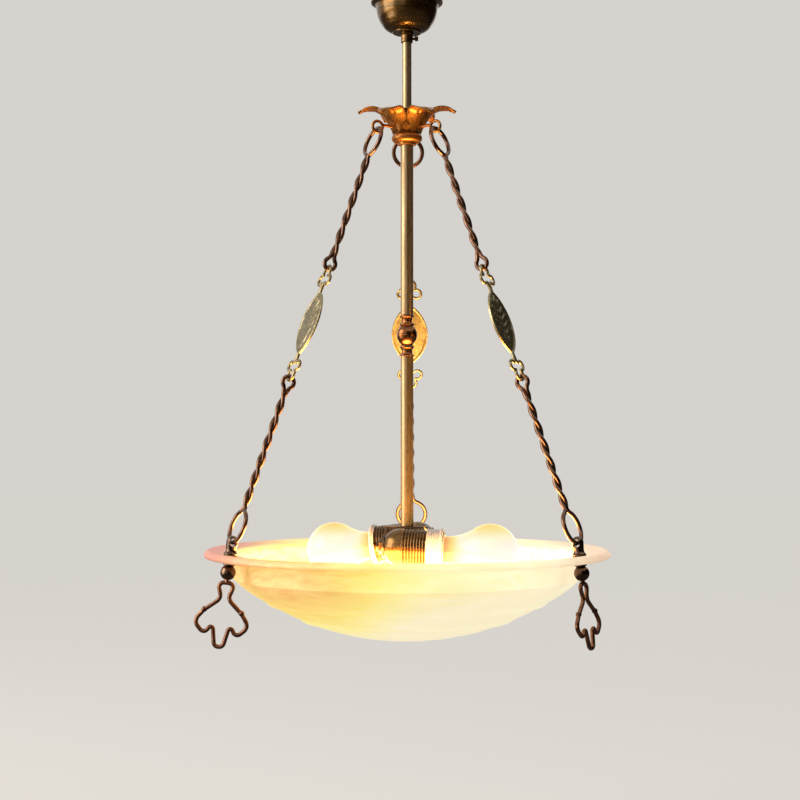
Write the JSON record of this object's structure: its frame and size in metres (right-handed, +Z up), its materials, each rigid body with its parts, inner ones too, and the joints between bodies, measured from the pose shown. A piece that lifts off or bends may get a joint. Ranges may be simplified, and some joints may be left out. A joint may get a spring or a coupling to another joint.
{
  "type": "bowl pendant light",
  "caption": "Hanging ceiling light: a shallow frosted glass bowl on twisted wire arms with medallions, below a petal crown and a turned stem, with lamps inside.",
  "frame": {"origin": "on the ceiling plane, midway between the crossbar's two screw holes, on the stem's axis", "axes": "+Z up along the stem, -Y to the front view, +X to the right of it, along the crossbar"},
  "size_m": [0.4372, 0.4384, 0.7395],
  "materials": {
    "aged_brass": "spun and lacquered, aged brown",
    "tube_brass": "drawn tube, satin",
    "turned_brass": "turned and lacquered",
    "cast_brass": "cast, aged with worn high points",
    "brass_wire": "twisted round wire, aged",
    "plated_steel": "zinc plated",
    "bowl_glass": "pressed and satin frosted, warm pink",
    "bulb_glass": "clear, lit from inside",
    "bulb_cap": "rolled screw thread",
    "white_porcelain": "white glaze",
    "felt": "pressed felt"
  },
  "bodies": {
    "root": {"ceiling_bracket": "plated_steel", "bracket_nuts": "plated_steel", "terminal_block": "white_porcelain", "upper_stem": "tube_brass", "crown": "cast_brass", "crown_eyes": "cast_brass", "middle_stem": "tube_brass", "stem_knob": "turned_brass", "lower_stem": "tube_brass", "cluster_nipple": "plated_steel", "cluster_nut": "plated_steel", "cluster_bracket": "plated_steel", "holder_nipples": "plated_steel", "holder_locknuts": "plated_steel", "holder_cap_right": "aged_brass", "holder_shell_right": "aged_brass", "shade_ring_right": "white_porcelain", "holder_insert_right": "white_porcelain", "screw_shell_right": "bulb_cap", "holder_cap_left": "aged_brass", "holder_shell_left": "aged_brass", "shade_ring_left": "white_porcelain", "holder_insert_left": "white_porcelain", "screw_shell_left": "bulb_cap"},
    "canopy": {"canopy": "aged_brass", "canopy_disc": "aged_brass", "canopy_collar": "aged_brass"},
    "collar_screw": {"collar_screw": "aged_brass"},
    "bowl": {"glass_bowl": "bowl_glass", "rim_bolt_back": "cast_brass", "rim_bolt_left": "cast_brass", "rim_bolt_right": "cast_brass", "upper_washers": "felt", "lower_washers": "felt"},
    "arm_back": {"upper_link_back": "brass_wire", "lower_link_back": "brass_wire"},
    "arm_left": {"upper_link_left": "brass_wire", "lower_link_left": "brass_wire"},
    "arm_right": {"upper_link_right": "brass_wire", "lower_link_right": "brass_wire"},
    "medallion_back": {"medallion_back": "cast_brass"},
    "medallion_left": {"medallion_left": "cast_brass"},
    "medallion_right": {"medallion_right": "cast_brass"},
    "finial_back": {"ball_nut_back": "cast_brass", "trefoil_drop_back": "cast_brass"},
    "finial_left": {"ball_nut_left": "cast_brass", "trefoil_drop_left": "cast_brass"},
    "finial_right": {"ball_nut_right": "cast_brass", "trefoil_drop_right": "cast_brass"},
    "bulb_right": {"bulb_glass_right": "bulb_glass", "bulb_base_right": "bulb_cap"},
    "bulb_left": {"bulb_glass_left": "bulb_glass", "bulb_base_left": "bulb_cap"}
  },
  "joints": [
    {"name": "bowl_twist", "type": "hinge", "parent": "root", "child": "bowl", "pos_m": [0, 0, -0.6415], "axis": [0, 0, 1], "range_deg": [-6, 6], "stiffness_Nm_per_rad": 0.53},
    {"name": "arm_swing_back", "type": "hinge", "parent": "root", "child": "arm_back", "pos_m": [0, 0.036, -0.18695], "axis": [0, 0.9355, 0.3534], "range_deg": [-3, 3]},
    {"name": "arm_swing_left", "type": "hinge", "parent": "root", "child": "arm_left", "pos_m": [-0.03118, -0.018, -0.18695], "axis": [-0.8101, -0.4677, 0.3534], "range_deg": [-3, 3]},
    {"name": "arm_swing_right", "type": "hinge", "parent": "root", "child": "arm_right", "pos_m": [0.03118, -0.018, -0.18695], "axis": [0.8101, -0.4677, 0.3534], "range_deg": [-3, 3]},
    {"name": "medallion_swivel_back", "type": "hinge", "parent": "arm_back", "child": "medallion_back", "pos_m": [0, 0.11675, -0.4007], "axis": [0, -0.3534, 0.9355], "range_deg": [-10, 10]},
    {"name": "medallion_swivel_left", "type": "hinge", "parent": "arm_left", "child": "medallion_left", "pos_m": [-0.10111, -0.05838, -0.4007], "axis": [0.3061, 0.1767, 0.9355], "range_deg": [-10, 10]},
    {"name": "medallion_swivel_right", "type": "hinge", "parent": "arm_right", "child": "medallion_right", "pos_m": [0.10111, -0.05838, -0.4007], "axis": [-0.3061, 0.1767, 0.9355], "range_deg": [-10, 10]},
    {"name": "finial_turn_back", "type": "hinge", "parent": "bowl", "child": "finial_back", "pos_m": [0, 0.203, -0.629], "axis": [0, -0.1392, 0.9903], "continuous": true},
    {"name": "finial_turn_left", "type": "hinge", "parent": "bowl", "child": "finial_left", "pos_m": [-0.1758, -0.1015, -0.629], "axis": [0.1205, 0.0696, 0.9903], "continuous": true},
    {"name": "finial_turn_right", "type": "hinge", "parent": "bowl", "child": "finial_right", "pos_m": [0.1758, -0.1015, -0.629], "axis": [-0.1205, 0.0696, 0.9903], "continuous": true},
    {"name": "canopy_slide", "type": "slide", "parent": "root", "child": "canopy", "axis": [0, 0, -1], "range_m": [0, 0.06]},
    {"name": "collar_screw_turn", "type": "hinge", "parent": "canopy", "child": "collar_screw", "pos_m": [0.008, 0, -0.0848], "axis": [1, 0, 0], "continuous": true},
    {"name": "bulb_turn_right", "type": "hinge", "parent": "root", "child": "bulb_right", "pos_m": [-0.00143, -0.02045, -0.6393], "axis": [0.9966, -0.0697, -0.0436], "continuous": true},
    {"name": "bulb_turn_left", "type": "hinge", "parent": "root", "child": "bulb_left", "pos_m": [0.00574, 0.02485, -0.6345], "axis": [-0.9671, 0.2233, -0.1219], "continuous": true}
  ],
  "couplings": [
    {"joint": "arm_swing_back", "follows": "bowl_twist", "ratio": 0.42895},
    {"joint": "arm_swing_left", "follows": "bowl_twist", "ratio": 0.42895},
    {"joint": "arm_swing_right", "follows": "bowl_twist", "ratio": 0.42895}
  ]
}
